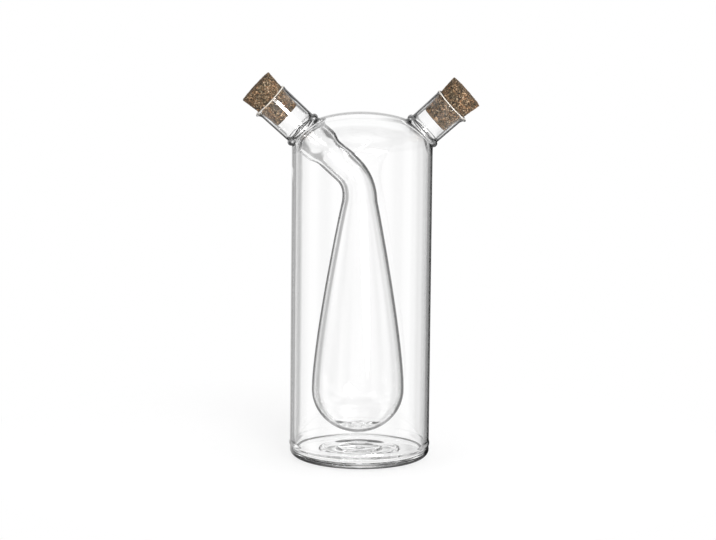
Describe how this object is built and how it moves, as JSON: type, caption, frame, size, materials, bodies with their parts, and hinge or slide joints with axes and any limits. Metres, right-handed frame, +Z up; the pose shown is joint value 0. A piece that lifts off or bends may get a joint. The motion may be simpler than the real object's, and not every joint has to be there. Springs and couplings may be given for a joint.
{
  "type": "oil and vinegar bottle",
  "caption": "Clear glass cruet: a teardrop vinegar bulb hangs inside an oil bottle, and each chamber pours from its own slanted spout closed by a tapered cork.",
  "frame": {"origin": "centre of the standing foot, on the surface the bottle stands on", "axes": "+Z up the bottle's axis, +X towards the oil spout, -X towards the vinegar spout, -Y towards the viewer in the picture"},
  "size_m": [0.1173, 0.0706, 0.1939],
  "materials": {
    "clear_glass": "clear, flame polished",
    "cork": "matt agglomerated cork"
  },
  "bodies": {
    "vessel": {"outer_shell": "clear_glass", "base_cup": "clear_glass", "vinegar_bulb": "clear_glass", "vinegar_neck": "clear_glass", "oil_spout": "clear_glass", "oil_seal_ring": "clear_glass", "vinegar_spout": "clear_glass", "vinegar_seal_ring": "clear_glass"},
    "oil_cork": {"oil_cork": "cork"},
    "vinegar_cork": {"vinegar_cork": "cork"}
  },
  "joints": [
    {"name": "oil_cork_pull", "type": "slide", "parent": "vessel", "child": "oil_cork", "axis": [0.7373, 0, 0.6756], "range_m": [0, 0.03]},
    {"name": "vinegar_cork_pull", "type": "slide", "parent": "vessel", "child": "vinegar_cork", "axis": [-0.7373, 0, 0.6756], "range_m": [0, 0.03]}
  ]
}
